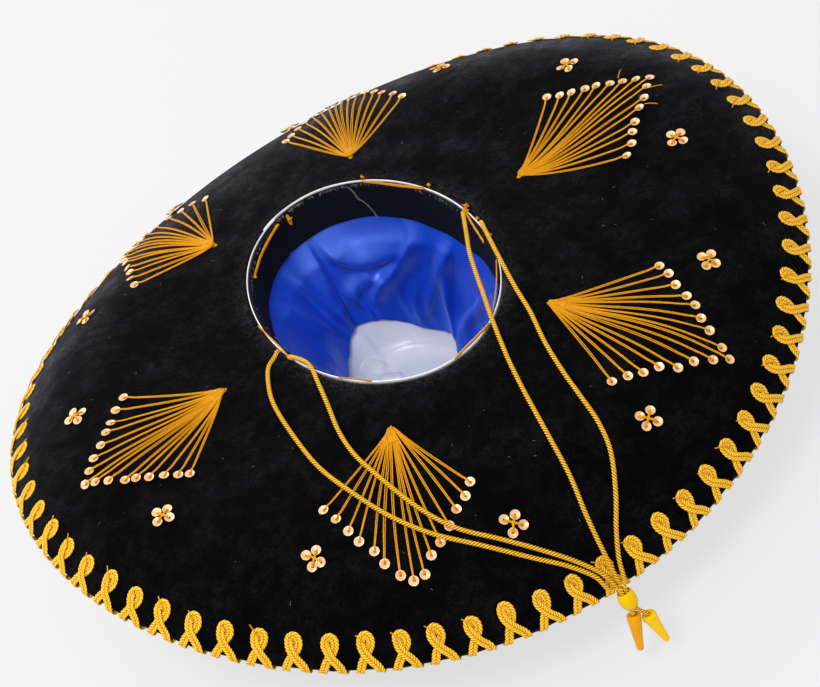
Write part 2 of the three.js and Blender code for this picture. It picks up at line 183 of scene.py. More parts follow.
def smooth_path(points, step):
    """A centripetal Catmull-Rom line through the points, as in the CAD, at even steps."""
    p = np.asarray(points, float)
    p = np.vstack([2 * p[0] - p[1], p, 2 * p[-1] - p[-2]])
    t = np.linspace(0, 1, 30, endpoint=False)[:, None]
    line = []
    for a, b, c, d in zip(p, p[1:], p[2:], p[3:]):
        s0, s1, s2 = (math.sqrt(np.linalg.norm(v)) for v in (b - a, c - b, d - c))
        m1 = ((b - a) / s0 - (c - a) / (s0 + s1) + (c - b) / s1) * s1
        m2 = ((c - b) / s1 - (d - b) / (s1 + s2) + (d - c) / s2) * s1
        line.append(b + m1 * t + (-3 * b + 3 * c - 2 * m1 - m2) * t**2 + (2 * b - 2 * c + m1 + m2) * t**3)
    return even(np.vstack([*line, p[-2][None]]), step)


def travelled(line):
    """How far along the line each of its points is."""
    return np.concatenate([[0], np.cumsum(np.linalg.norm(np.diff(line, axis=0), axis=1))])


def even(line, step):
    gone = travelled(line)
    at = np.linspace(0, gone[-1], max(2, round(gone[-1] / step) + 1))
    return np.stack([np.interp(at, gone, line[:, k]) for k in range(line.shape[1])], -1)


# ---- mesh building
class Shape:
    """Grids of points gathered into one mesh, with their UVs and a tone for each point."""

    def __init__(self):
        self.parts, self.count = [], 0

    def grid(self, points, along=None, around=None, loop=(False, True), tone=0.0):
        """points[row, column]. Rows or columns that meet again are looped; open row ends are closed flat."""
        rows, columns = points.shape[:2]
        along = np.arange(rows + 1.0) if along is None else np.asarray(along, float)
        around = np.arange(columns + 1.0) if around is None else np.asarray(around, float)
        i, j = np.indices((rows - (not loop[0]), columns - (not loop[1]))).reshape(2, -1, 1)
        i, j = i + [0, 0, 1, 1], j + [0, 1, 1, 0]
        faces, uvs = [i % rows * columns + j % columns], [np.stack([around[j], along[i]], -1)]
        if not loop[0]:
            ring = np.arange(columns)
            for face, row in ((ring[::-1], 0), (ring + (rows - 1) * columns, rows - 1)):
                faces.append(face[None])
                uvs.append(np.stack([around[ring], np.full(columns, along[row])], -1)[None])
        flat = points.reshape(-1, 3)
        a, b, c, d = (flat[faces[0][:, n]] - flat.mean(0) for n in range(4))
        volume = (np.cross(a, b) * c).sum() + (np.cross(a, c) * d).sum()
        if volume < 0:
            faces, uvs = [face[:, ::-1] for face in faces], [uv[:, ::-1] for uv in uvs]
        corners = np.concatenate([face.ravel() for face in faces]) + self.count
        sizes = np.concatenate([np.full(len(face), face.shape[1]) for face in faces])
        uvs = np.concatenate([uv.reshape(-1, 2) for uv in uvs])
        self.parts.append((flat * MM, np.broadcast_to(tone, points.shape[:2]).ravel(), corners, sizes, uvs))
        self.count += len(flat)
        return self

    def build(self, name, material, slot, nodes=(), body="hat"):
        mesh = bpy.data.meshes.new(name)
        points, tones, corners, sizes, uvs = (np.concatenate(kind) for kind in zip(*self.parts))
        mesh.vertices.add(self.count)
        mesh.vertices.foreach_set("co", points.astype(np.float32).ravel())
        mesh.loops.add(len(corners))
        mesh.loops.foreach_set("vertex_index", corners.astype(np.int32))
        mesh.polygons.add(len(sizes))
        mesh.polygons.foreach_set("loop_start", (np.cumsum(sizes) - sizes).astype(np.int32))
        mesh.update(calc_edges=True)
        mesh.uv_layers.new(name="UVMap").data.foreach_set("uv", uvs.astype(np.float32).ravel())
        mesh.attributes.new("tone", "FLOAT", "POINT").data.foreach_set("value", tones.astype(np.float32))
        mesh.polygons.foreach_set("use_smooth", [True] * len(sizes))
        mesh.materials.append(material)
        mesh.validate()
        piece = bpy.data.objects.new(name, mesh)
        scene.collection.objects.link(piece)
        if nodes:
            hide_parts(*nodes)
        if body:
            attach(piece, body)
        return piece


def frames_along(path, up=None):
    """Unit side and top vectors square to the path; without an up they turn as little as they can."""
    ahead = unit(np.gradient(path, axis=0))
    side = [unit(np.cross(ahead[0], [0.3, 0.2, 1]))]
    for t in ahead[1:]:
        side.append(unit(side[-1] - t * (side[-1] @ t)))
    side = np.array(side) if up is None else unit(np.cross(ahead, up))
    return side, np.cross(side, ahead)


def tube(shape, path, radius, sides=8, tone=0.0, up=None):
    """A round tube; radius may be one number, one for each point, or one for each point and side."""
    side, top = frames_along(path, up)
    r = np.asarray(radius, float)
    r = r[:, None] if r.ndim == 1 else r
    ring = spokes(circle(sides), side[:, None], top[:, None]) * r[..., None]
    gone = travelled(path)
    shape.grid(path[:, None] + ring, np.append(gone, gone[-1]), np.arange(sides + 1) / sides, tone=tone)


def thread(shape, path, radius):
    """A thread lying on the velvet: its tone, partly random, is painted shade that darkens it down its flanks
    and underside, beside the pile.
    """
    down = np.clip(0.6 - np.sin(circle(8)), 0, 1)
    tube(shape, path, radius, 8, tone=np.clip(0.25 * rng.random() + down, 0, 1), up=(0, 0, 1))


def revolved(profile, start, axis, side, top, segments):
    """Points of a profile, as (radius, distance along), turned about the axis."""
    profile = np.asarray(profile, float)[:, :, None, None]
    return start + profile[:, 1] * axis + profile[:, 0] * spokes(circle(segments), side, top)


# ---- materials
class Paint:
    """A node material built from the inside out; every node call returns its first output."""

    def __init__(self, name):
        self.material = bpy.data.materials.new(name)
        self.material.use_nodes = True
        self.tree = self.material.node_tree
        self.surface = self.tree.nodes["Principled BSDF"]

    def node(self, kind, settings=None, output=0, **inputs):
        n = self.tree.nodes.new("ShaderNode" + kind)
        for key, value in (settings or {}).items():
            setattr(n, key, value)
        for key, value in inputs.items():
            place = int(key[1:]) if key[0] == "_" else key.replace("_", " ")
            self.set(n.inputs[place], value)
        return n.outputs[output]

    def set(self, socket, value):
        if isinstance(value, bpy.types.NodeSocket):
            self.tree.links.new(value, socket)
        elif socket.type == "RGBA" and not isinstance(value, (int, float)):
            socket.default_value = (*value, 1.0) if len(value) == 3 else value
        else:
            socket.default_value = value

    def object_point(self):
        return self.node("TexCoord", output="Object")

    def uv(self, axis):
        return self.node("SeparateXYZ", output=axis, Vector=self.node("UVMap"))

    def math(self, operation, a, b=0.0, c=0.0):
        return self.node("Math", {"operation": operation}, _0=a, _1=b, _2=c)

    def times(self, a, b):
        return self.math("MULTIPLY", a, b)

    def scaled(self, value, factor, offset):
        return self.math("MULTIPLY_ADD", value, factor, offset)

    def sine(self, value, rate=1.0):
        return self.math("SINE", self.times(value, TURN * rate))

    def wave(self, value):
        """Up to 1 and down to 0 once for each whole step of value."""
        return self.scaled(self.sine(value), 0.5, 0.5)

    def weave(self, per_mm):
        return self.times(self.sine(self.uv("X"), per_mm), self.sine(self.uv("Y"), per_mm))

    def noise(self, scale, detail=3.0, roughness=0.55):
        place = self.object_point()
        return self.node("TexNoise", Vector=place, Scale=scale, Detail=detail, Roughness=roughness)

    def ramp(self, value, low, high, out_low=0.0, out_high=1.0):
        return self.node("MapRange", {"interpolation_type": "SMOOTHSTEP"}, Value=value,
                         From_Min=low, From_Max=high, To_Min=out_low, To_Max=out_high)

    def mix(self, share, a, b):
        return self.node("Mix", {"data_type": "RGBA"}, output=2, _0=share, _6=a, _7=b)

    def tone(self):
        return self.node("Attribute", {"attribute_name": "tone"}, output="Fac")

    def bump(self, height, strength, distance, normal=None):
        extra = {} if normal is None else {"Normal": normal}
        return self.node("Bump", Height=height, Strength=strength, Distance=distance, **extra)

    def finish(self, colour, **inputs):
        for key, value in {"Base_Color": colour, **inputs}.items():
            self.set(self.surface.inputs[key.replace("_", " ")], value)
        return self.material


def velvet_paint(name, dusty):
    p = Paint(name)
    pile = p.noise(2600, 4, 0.7)
    nap = p.noise(38, 5, 0.62)
    crushed = p.noise(150, 4, 0.6)
    fluff = p.ramp(p.noise(560, 5, 0.8), 0.36, 0.64)
    shade = p.times(p.ramp(nap, 0.36, 0.7, 0.15, 1.0), p.ramp(crushed, 0.3, 0.75, 0.35, 1.0))
    shade = p.times(shade, p.scaled(fluff, 1.3, 0.25))
    colour = p.mix(shade, (0.001, 0.0009, 0.0011), (0.006, 0.0056, 0.0066))
    specks = p.node("TexVoronoi", output="Distance", Vector=p.object_point(), Scale=95, Randomness=1)
    lint = p.times(p.ramp(specks, 0.045, 0.02), p.ramp(p.noise(61, 1), 0.55, 0.62))
    colour = p.mix(p.times(lint, 0.35), colour, (0.16, 0.15, 0.14))
    if dusty:  # pale fibres gather on the pile beside the opening's edge
        worn = p.times(p.tone(), p.ramp(p.noise(420, 4, 0.75), 0.38, 0.72))
        colour = p.mix(p.times(worn, 0.45), colour, (0.085, 0.078, 0.088))
    facing = p.node("LayerWeight", output="Facing", Blend=0.5)
    grazing = p.math("MINIMUM", p.math("POWER", facing, 3.0), p.ramp(facing, 0.86, 0.97, 0.4, 0.02))
    sheen = p.times(p.scaled(shade, 0.75, 0.3), p.scaled(grazing, 1.1, 0.016))
    low = p.bump(nap, 0.35, 0.0012)
    normal = p.bump(pile, 0.9, 0.0005, p.bump(fluff, 0.5, 0.0006, p.bump(crushed, 0.5, 0.0005, low)))
    return p.finish(colour, Roughness=0.95, Specular_IOR_Level=0.02, Sheen_Weight=sheen,
                    Sheen_Roughness=0.35, Sheen_Tint=(0.62, 0.62, 0.72), Normal=normal)


def thread_paint(name, dark, bright, plies, sheen=0.1):
    """Twisted thread: plies wind round it, and v runs along it in millimetres."""
    p = Paint(name)
    wave = p.wave(p.scaled(p.uv("Y"), plies / 2.2, p.times(p.uv("X"), plies)))
    colour = p.mix(p.ramp(wave, 0.0, 0.8), dark, bright)
    colour = p.mix(p.ramp(p.noise(900, 2), 0.35, 0.75, 0.0, 0.35), colour, dark)
    # The tone darkens the thread: at random on stitches and knots, and as painted shade down the flanks of
    # threads that lie on the velvet.
    colour = p.mix(p.times(p.tone(), 0.85), colour, dark)
    return p.finish(colour, Roughness=0.45, Specular_IOR_Level=0.4, Sheen_Weight=sheen,
                    Specular_Tint=(1, 0.75, 0.2), Sheen_Tint=(1, 0.7, 0.1), Normal=p.bump(wave, 0.7, 0.0002))


PLAIT, SLANT = 0.57, 0.45  # strands of the ribbon's plait to a millimetre along it, and their slant across it


def ribbon_paint():
    """Woven metallic ribbon: a herringbone of slanting threads either side of its middle groove, with painted
    shade darkening the groove and the edges.
    """
    p = Paint("gold_ribbon")
    across, along = p.uv("X"), p.uv("Y")
    half = p.math("ABSOLUTE", across)
    weave = p.wave(p.math("ADD", p.times(along, PLAIT), p.times(half, SLANT)))
    rib = p.times(p.ramp(half, 0.0, 0.55), p.ramp(half, 2.85, 2.4))
    glint = p.ramp(p.noise(2100, 3, 0.7), 0.52, 0.7)
    colour = p.mix(p.ramp(weave, 0.08, 0.6), (0.46, 0.17, 0), (1, 0.56, 0.012))
    colour = p.mix(p.times(glint, 0.5), colour, (1, 0.83, 0.3))
    # Painted shade: darker along the middle groove and at the edges, outside the raised ribs.
    colour = p.mix(p.scaled(rib, -0.75, 0.75), colour, (0.24, 0.07, 0))
    return p.finish(colour, Specular_IOR_Level=0.7, Specular_Tint=(1, 0.72, 0.2),
                    Roughness=p.scaled(glint, -0.16, 0.44), Normal=p.bump(p.times(weave, rib), 0.7, 0.0005))


def cord_paint(name, dark, bright):
    """Tight gold cord: fine filaments on each of its strands; u is once round, v in millimetres."""
    p = Paint(name)
    fine = p.wave(p.scaled(p.uv("Y"), 1.6, p.times(p.uv("X"), 14)))
    glint = p.ramp(p.noise(1900, 2, 0.7), 0.55, 0.72)
    # Painted shade: the grooves between the plies, where the tone is low, are darker.
    colour = p.mix(p.ramp(p.tone(), 0.3, 0.95), dark, bright)
    colour = p.mix(p.times(fine, 0.25), colour, dark)
    colour = p.mix(p.times(glint, 0.35), colour, (1, 0.84, 0.42))
    return p.finish(colour, Specular_IOR_Level=0.6, Specular_Tint=(1, 0.75, 0.25), Roughness=0.4,
                    Normal=p.bump(fine, 0.5, 0.0002))


def satin_paint():
    """Satin; its tone is painted light and shade, from painted shade in a crease to a painted highlight where
    the cloth faces the opening.
    """
    p = Paint("royal_satin")
    colour = p.mix(p.ramp(p.noise(60, 3, 0.6), 0.3, 0.75), (0.003, 0.048, 0.5), (0.008, 0.072, 0.62))
    # Painted shade where the tone is low, and painted highlight where it is high.
    colour = p.mix(p.ramp(p.tone(), 0.3, 0.0, 0.0, 0.85), colour, (0, 0.03, 0.36))
    colour = p.mix(p.ramp(p.tone(), 0.35, 1.0, 0.0, 0.85), colour, (0.055, 0.14, 0.72))
    normal = p.bump(p.weave(2.4), 0.12, 0.0001, p.bump(p.noise(90, 3, 0.5), 0.08, 0.0008))
    return p.finish(colour, Metallic=0.3, Roughness=0.36, Specular_IOR_Level=1.0,
                    Specular_Tint=(0.5, 0.68, 1), Sheen_Weight=0.45, Sheen_Roughness=0.35,
                    Sheen_Tint=(0.35, 0.5, 1), Normal=normal)


def plastic_paint(name, colour, second, roughness, bump_scale, bump_strength, through=0.0, gleam=(1, 1, 1)):
    """Plastic in two close colours; through is how much light enters it, and gleam tints its highlights."""
    p = Paint(name)
    mixed = p.mix(p.ramp(p.noise(bump_scale * 0.4, 4, 0.6), 0.35, 0.7), colour, second)
    rough = p.scaled(p.ramp(p.noise(bump_scale * 6, 3, 0.7), 0.5, 0.8), 0.18, roughness)
    normal = p.bump(p.noise(bump_scale, 3, 0.5), bump_strength, 0.0008)
    return p.finish(mixed, Roughness=rough, Specular_IOR_Level=0.5, Specular_Tint=gleam,
                    Subsurface_Weight=through, Subsurface_Radius=(0.004, 0.003, 0.001), Subsurface_Scale=0.6,
                    Normal=normal)


def yellow_paint(name, colour, second):
    return plastic_paint(name, colour, second, 0.3, 220, 0.12, 0.12, (1, 0.85, 0.1))


def cloth_paint(name, dark, light, per_mm, sheen):
    """Plain weave on a strip whose u and v are in millimetres."""
    p = Paint(name)
    weave = p.scaled(p.weave(per_mm), 0.5, 0.5)
    worn = p.ramp(p.noise(120, 4, 0.65), 0.4, 0.75)
    colour = p.mix(p.times(weave, p.scaled(worn, 0.6, 0.3)), dark, light)
    return p.finish(colour, Roughness=0.75, Specular_IOR_Level=0.12, Sheen_Weight=sheen,
                    Sheen_Tint=(0.6, 0.6, 0.8), Normal=p.bump(weave, 0.5, 0.0003))


def sequin_paint():
    p = Paint("peach_sequin")
    film = p.noise(700, 2, 0.5)
    colour = p.mix(p.tone(), (0.78, 0.42, 0.17), (0.92, 0.58, 0.3))
    colour = p.mix(p.ramp(film, 0.4, 0.75, 0.0, 0.4), colour, (0.96, 0.7, 0.46))
    return p.finish(colour, Metallic=0.4, Roughness=0.3, Coat_Weight=0.3, Coat_Roughness=0.12,
                    Normal=p.bump(film, 0.15, 0.0003))


def fibre_paint():
    """The brim's core: black pressed felt, of which only the rim's edge shows between the braid's feet."""
    p = Paint("pressed_fibre")
    speck = p.ramp(p.noise(800, 4, 0.7), 0.35, 0.7)
    return p.finish(p.mix(speck, (0.004, 0.004, 0.005), (0.016, 0.014, 0.016)), Roughness=0.95,
                    Specular_IOR_Level=0.1, Normal=p.bump(p.noise(1200, 3, 0.7), 0.5, 0.0004))


VELVET = velvet_paint("black_velvet", dusty=True)
OUTER_VELVET = velvet_paint("black_velvet_outer", dusty=False)
THREAD = thread_paint("amber_thread", (0.38, 0.11, 0), (0.95, 0.45, 0.003), 2)
RIBBON = ribbon_paint()
GOLD_CORD = cord_paint("gold_cord", (0.24, 0.06, 0), (1, 0.56, 0.012))
GOLD_ROPE = cord_paint("gold_hatband_rope", (0.16, 0.04, 0), (1, 0.56, 0.015))
SATIN = satin_paint()
WHITE_SHELL = plastic_paint("white_shell", (0.6, 0.62, 0.68), (0.67, 0.69, 0.74), 0.3, 60, 0.25)
WHITE_EDGE = plastic_paint("white_edge", (0.7, 0.7, 0.72), (0.8, 0.8, 0.8), 0.42, 300, 0.25)
YELLOW = yellow_paint("yellow_plastic", (0.7, 0.43, 0), (0.76, 0.47, 0))
BRIGHT_YELLOW = yellow_paint("bright_yellow_plastic", (0.84, 0.47, 0), (0.9, 0.52, 0))
DEEP_YELLOW = yellow_paint("deep_yellow_plastic", (0.68, 0.28, 0), (0.74, 0.32, 0))
BAND = cloth_paint("navy_band", (0.0012, 0.0012, 0.0035), (0.006, 0.006, 0.017), 1.1, 0.0)
FRAY = cloth_paint("pale_fibre", (0.32, 0.31, 0.27), (0.55, 0.54, 0.48), 0.5, 0.3)
PEACH = sequin_paint()
FELT = fibre_paint()

# ---- camera, at the photograph's angle
AZIMUTH, ELEVATION, ROLL, DISTANCE = math.radians(-18.44), math.radians(44.97), math.radians(-23.12), 1.4
target = Vector((-0.01145, -0.03074, (HEIGHT - 30) * MM))
ground = Vector((math.sin(AZIMUTH), -math.cos(AZIMUTH), 0))
back = ground * math.cos(ELEVATION) + Vector((0, 0, math.sin(ELEVATION)))
level = Vector((0, 0, 1)).cross(back).normalized()
rise = back.cross(level)
right = level * math.cos(ROLL) + rise * math.sin(ROLL)
upward = rise * math.cos(ROLL) - level * math.sin(ROLL)
camera = bpy.data.objects.new("camera", bpy.data.cameras.new("camera"))
camera.data.lens, camera.data.sensor_width = 94.8, 36
turned = Matrix((right, upward, back)).transposed().to_4x4()
camera.matrix_world = Matrix.Translation(target + back * DISTANCE) @ turned
scene.collection.objects.link(camera)
scene.camera = camera

# ---- chin cord: four strands, bead and cones
# x, y and height square above the velvet; for air points, height above the plane of the opening.
STRANDS = {
    "left_outer": (-1, 1, [], [
        (-88.5, 0, 2.3), (-96, -4, 2.3), (-105, -18, 2.3), (-111, -34, 2.3), (-117, -75, 2.3),
        (-118, -98, 2.4), (-115, -125, 3.7), (-107, -157, 3.8), (-95, -180.5, 3.8), (-76, -203, 3.8),
        (-57, -222.6, 4.2), (-44, -234, 4.5), (-34.5, -244, 5), (-31.6, -251, 5.7)]),
    "left_inner": (-1, -1, [
        (-80.8, -4.5, -1.5), (-81.2, -9.5, 2.6), (-78.6, -18.5, 4.6), (-77.6, -28, 5.3)], [
        (-81.5, -43, 4.6), (-87, -61.5, 2.6), (-94, -85, 2.4), (-97, -106, 3.2), (-96.5, -124, 3.8),
        (-91, -165, 3.8), (-82, -187, 3.8), (-66, -206, 3.8), (-52, -221, 4.2), (-38.5, -235, 4.6),
        (-30, -245, 4.8), (-27.8, -251, 4.9)]),
    "right_inner": (1, -1, [
        (71.8, 9, -1.5), (69.6, 5, 2.2), (65.4, -2.5, 2.6), (60.6, -11, 2.6), (51, -28, 3), (42, -48, 3.6),
        (35, -65, 4.6), (26.5, -85, 5.4)], [
        (19, -104, 2.7), (12.5, -121.5, 2.4), (5, -146, 2.4), (-4, -179.5, 2.6), (-10.5, -204, 3.2),
        (-18, -224, 4.3), (-22.5, -240, 4.7), (-24.7, -251, 4.9)]),
    "right_outer": (1, 1, [(74.2, -7.5, -1.5), (72.2, -13, 2.8), (68.4, -24, 4.6), (60, -50, 5.4)], [
        (52, -77, 3.4), (46, -100, 2.5), (37.5, -125, 2.4), (31.5, -150, 2.4), (28, -170, 2.4),
        (24.5, -190, 2.8), (18.5, -206, 3.2), (4, -224, 4.2), (-9, -236, 4.6), (-17.5, -245, 5),
        (-21.4, -251, 5.6)]),
}
LEADS = {"left_outer": [(-83.6, 4.6, -1.6), (-84.9, 3, 1.6)]}  # out of the crack between strip and velvet
TWIST = 6  # mm for one ply of the cord to wind once round


def in_bead(along, side, outward):
    return BEAD + BEAD_AXIS * along + ACROSS * side * STRAND + THROUGH * outward * STRAND


def twisted(shape, path, radius, pitch, sides=24):
    """Three plies wound together: the section's outline has three lobes that turn along the path; the tone,
    low in the grooves between plies, is painted shade there.
    """
    ply, proud = 0.5, 1.16  # a ply's radius; its crest stands proud, so the groove doesn't thin the cord
    off = (circle(sides) - travelled(path)[:, None] / pitch * TURN + TURN / 6) % (TURN / 3) - TURN / 6
    outline = ply * np.cos(off) + np.sqrt(ply**2 - (ply * np.sin(off)) ** 2)
    valley = outline.min()
    tube(shape, path, outline * proud * radius, sides, tone=(outline - valley) / (1 - valley))


def strand_route(name):
    side, outward, air, laid = STRANDS[name]
    points = [(x, y, HEIGHT + z) for x, y, z in LEADS.get(name, []) + air]
    points += [brim(x, y, lift)[0] for x, y, lift in laid]
    stops = [-BEAD_HALF - 3.4, -BEAD_HALF - 2.2, -BEAD_HALF, BEAD_HALF - 1.2]
    points += [in_bead(stop, side, outward) for stop in stops]
    if outward > 0:  # these two run on through the bead and into the cones
        start, way = TIPS["left" if side < 0 else "right"]
        points += [in_bead(BEAD_HALF + 0.4, side, 1), in_bead(BEAD_HALF + 2, side, 1)]
        points += [start + unit(way) * 0.5, start + unit(way) * 4.5]
    return smooth_path(points, 0.42)


BEAD_RADIUS, BEAD_SWEEP, BEAD_FACETS = 5.62, 48, 56
CONE_LENGTH, CONE_FOOT, CONE_FACETS = 25, 4.25, 40
COLLARS = {"left": 0.0, "right": 0.35}  # how far a rounded collar stands out near the cone's foot


def bead_wall():
    """(radius, distance along) once round the bead's wall; a narrow flat band runs round its middle."""
    mouth = np.array([
        (BEAD_BORE + 0.42, BEAD_HALF), (BEAD_BORE + 0.12, BEAD_HALF - 0.05), (BEAD_BORE, BEAD_HALF - 0.4)])
    t = np.radians(np.linspace(4 - BEAD_SWEEP, BEAD_SWEEP - 4, 41))
    along = BEAD_HALF * np.sin(t) / math.sin(math.radians(BEAD_SWEEP))
    bulge = np.stack([np.minimum(5.65 * np.cos(t) + 0.25, BEAD_RADIUS), along], -1)
    return np.vstack([(BEAD_BORE, 0), mouth[::-1] * (1, -1), bulge, mouth])


def cone_side(collar):
    """(radius, distance along) of a cord's end cone: its bore, its rounded foot, its taper and its tip."""
    belly = CONE_FOOT + 0.1 + collar
    profile = [(0, 6), (1.75, 6), (1.75, 0.4), (1.95, 0.05), (3.4, 0), (3.95, 0.15), (CONE_FOOT, 0.55),
               (CONE_FOOT + 0.1, 1.2), (belly, 2), (belly, 2.9), (CONE_FOOT + 0.05, 3.5), (CONE_FOOT, 4.2)]
    profile += [(CONE_FOOT - 2.05 * f, 4.2 + 18.8 * f) for f in np.linspace(0.08, 1, 14)]
    return profile + [(2.05, 23.9), (1.65, 24.6), (1, CONE_LENGTH - 0.05), (0, CONE_LENGTH)]


bead_points = revolved(bead_wall(), BEAD, BEAD_AXIS, ACROSS, THROUGH, BEAD_FACETS)
Shape().grid(bead_points, loop=(True, True)).build(
    "cord_slider_bead", YELLOW, "yellow_plastic", ["cord_slider"], "slider")

cones = {}
for side, paint in (("left", DEEP_YELLOW), ("right", BRIGHT_YELLOW)):
    start, way = TIPS[side]
    axis = unit(way)
    square = unit(np.cross(axis, [0.9, 0.1, 0.3]))
    profile = cone_side(COLLARS[side])
    points = revolved(profile, start, axis, square, np.cross(axis, square), CONE_FACETS)
    heights = np.append([along for _, along in profile], 0)
    cones[side] = Shape().grid(points, heights, np.arange(CONE_FACETS + 1) / CONE_FACETS).build(
        f"cord_tip_{side}_cone", paint, "yellow_plastic", [f"cord_tip_{side}"], f"{side}_tip")

for name, (side, outward, _, _) in STRANDS.items():
    route = strand_route(name)
    shape = Shape()
    twisted(shape, route, CORD / 2, TWIST)
    nodes, body, far = [f"chin_cord_{name}"], "hat", dict(far_end="object")
    if outward > 0:
        tip = "left" if side < 0 else "right"
        nodes, body = [*nodes, f"cord_tail_{tip}"], None
        far = dict(far_end="fitting", with_pieces=[cones[tip]])
    cord = shape.build(f"chin_cord_{name}_twisted", GOLD_CORD, "gold_cord", nodes, body)
    if outward > 0:
        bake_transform(cord)

# ---- brim velvets
BRIM_ROWS, BRIM_COLUMNS = 90, 560
angle = circle(BRIM_COLUMNS)


def brim_sheet(edge, top, bottom, hem):
    """A velvet disc with a hole: its top face, its rounded or plain hem at the rim, and its back face."""
    inner = head_oval(angle, edge, 0)[:, :2]
    outer = rim_radius(angle)[:, None] * compass(angle)
    share = np.linspace(0, 1, BRIM_ROWS)[:, None]
    flat = inner + (outer - inner) * share[..., None]
    out = np.pad(compass(angle), ((0, 0), (0, 1)))
    face, normal = brim(flat[..., 0], flat[..., 1])
    wave = 0.22 * np.sin(9 * angle + 5 * share) * np.sin(math.pi * share) ** 2
    upper = face - normal * (top + np.abs(wave[..., None]) * (top == 0))
    lower = face[::-1] - normal[::-1] * bottom
    rim, square = face[-1], normal[-1]
    middle = [rim + out * reach - square * depth for reach, depth in hem]
    return np.concatenate([upper, np.array(middle), lower])


WRAP = [(0.35, 0.15), (0.6, 0.6), (0.68, 1.2), (0.68, 3.6), (0.6, 4.5), (0.35, 4.95), (0.05, 5.05),
        (0.1, 4.8), (0.25, 4.4), (0.3, 1.8), (0.15, 1.3)]  # reach past the rim and depth, round the hem
points = brim_sheet(0.9, 0.0, 1.2, WRAP)
BRIM_WIDTH, DUSTY = 170, 13  # mm; the pile is dusty beside the opening
clean = np.minimum(np.arange(len(points)) / (BRIM_ROWS - 1) * BRIM_WIDTH / DUSTY, 1)[:, None]
dust = (1 - clean) ** 1.5 * (0.75 + 0.25 * np.sin(7 * angle + 1))
Shape().grid(points, loop=(True, True), tone=dust).build(
    "brim_velvet_underside_pile", VELVET, "black_velvet", ["brim_velvet_underside"])
points = brim_sheet(OUTER_GROWTH + 0.9, BRIM_STACK - 1.2, BRIM_STACK, [(-0.1, 4), (-0.1, 4.8)])
Shape().grid(points, loop=(True, True)).build(
    "brim_velvet_outer_pile", OUTER_VELVET, "black_velvet", ["brim_velvet_outer"])
core_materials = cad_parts["brim_core"].data.materials
core_materials.clear()
core_materials.append(FELT)

# ---- crown cover and white shell
DEPTHS = np.append(np.linspace(5.6, 119, 60), 119 + 13 * np.sin(np.linspace(0.05, 1, 26) * math.pi / 2))


def crown_face(inside):
    """The wall from its edge down, and then the floor in to its middle."""
    wall = crown_wall(circle(300), DEPTHS[:, None], inside)
    centre = wall[-1].mean(0)
    return np.concatenate([wall, centre + (wall[-1] - centre) * np.linspace(1, 0.01, 34)[1:, None, None]])


BARS = [((-23.4, 71.2), (-8.7, 59.8), 4.2), ((-12.3, 50.7), (-4.3, 44.2), 3.4)]  # moulded ribs on the floor


def moulded(face):
    """Two rounded ribs stand on the floor, and the wall has one shallow fold down it."""
    floor = face[..., 2] < 12
    for a, b, wide in BARS:
        a, b = np.array(a), np.array(b)
        t = np.clip(((face[..., :2] - a) @ (b - a)) / ((b - a) @ (b - a)), 0, 1)
        d = np.linalg.norm(face[..., :2] - (a + t[..., None] * (b - a)), axis=-1)
        face[..., 2] += floor * 2.2 * bell((d / wide) ** 2)
    inward = np.array([HEAD["x"], HEAD["y"]]) - face[..., :2]
    theta = np.degrees(np.arctan2(-inward[..., 1], -inward[..., 0]))
    depth = HEIGHT - face[..., 2]
    fold = 2 * bell((theta - 93 + 0.15 * (depth - 105)) / 3.2) * bell((depth - 112) / 13)
    face[..., :2] += unit(inward) * fold[..., None]
    return face


Shape().grid(np.concatenate([crown_face(0)[::-1], crown_face(1.2)])).build(
    "crown_velvet_pile", OUTER_VELVET, "black_velvet", ["crown_velvet"])
Shape().grid(np.concatenate([crown_face(1.7)[::-1], moulded(crown_face(SHELL_INSIDE))])).build(
    "crown_shell_moulded", WHITE_SHELL, "white_plastic", ["crown_shell"])

# ---- gathered satin lining
HEM = [  # angle and depth
    (0, 117), (10, 115), (15, 110), (19, 107), (24, 113), (38, 114), (52, 111), (62, 108), (72, 103),
    (82, 101), (90, 99), (97, 97), (111, 106), (128, 112), (150, 113), (180, 112), (220, 113), (270, 112),
    (315, 113), (340, 116)]
# Each fold: (angle, depth) along its crest from the hem up, or from left to right; its height; and how far it
# slopes away on its left or upper side, then on its right or lower side.
FOLDS = [
    ([(98, 97), (96, 75), (94, 46), (93, 26)], 5.6, 10, 2.8),
    ([(98, 95), (103, 74), (109, 50), (115, 30)], 3.6, 3.5, 5),
    ([(86, 27), (82, 48), (70, 58), (51, 56), (36, 42)], 6.2, 12, 4.2),
    ([(89, 80), (78, 75), (62, 71)], 4.0, 8, 3.6),
    ([(72, 103), (72, 88), (66, 78), (58, 72), (44, 58), (36, 44), (37, 29)], 6.0, 3.4, 9),
    ([(78, 101), (81, 89), (86, 78)], 2.6, 2, 4),
    ([(16, 105), (18, 87), (18, 65), (13, 36)], 6.0, 8, 2.8),
    ([(38, 101), (27, 74), (18, 50)], 3.2, 6, 3),
    ([(12, 103), (-1, 82), (-17, 50)], 3.8, 3, 6),
    ([(110, 99), (117, 78), (127, 53), (134, 30)], 3.0, 8, 5),
    ([(46, 109), (44, 90), (41, 74)], 2.0, 4, 4),
    ([(185, 108), (178, 70), (172, 38)], 3.0, 7, 5),
    ([(215, 108), (222, 70), (226, 38)], 3.0, 6, 4),
    ([(256, 108), (250, 66), (246, 38)], 3.2, 7, 3),
    ([(292, 108), (300, 66), (304, 38)], 3.2, 6, 4),
    ([(326, 108), (330, 70), (322, 40)], 3.2, 6, 4),
]
GATHERS = [(97.5, 97, 0.8), (72, 103, 0.7), (17, 106, 1)]  # where the running stitch draws the hem in
LINING_ROWS, LINING_COLUMNS = 130, 620
LINING_RADIUS = 76  # about; the lining is oval and narrows downwards
LINING_TOP, LINING_DEGREE = 9, 1.33  # depth of its upper edge behind the sweatband; mm of cloth to a degree


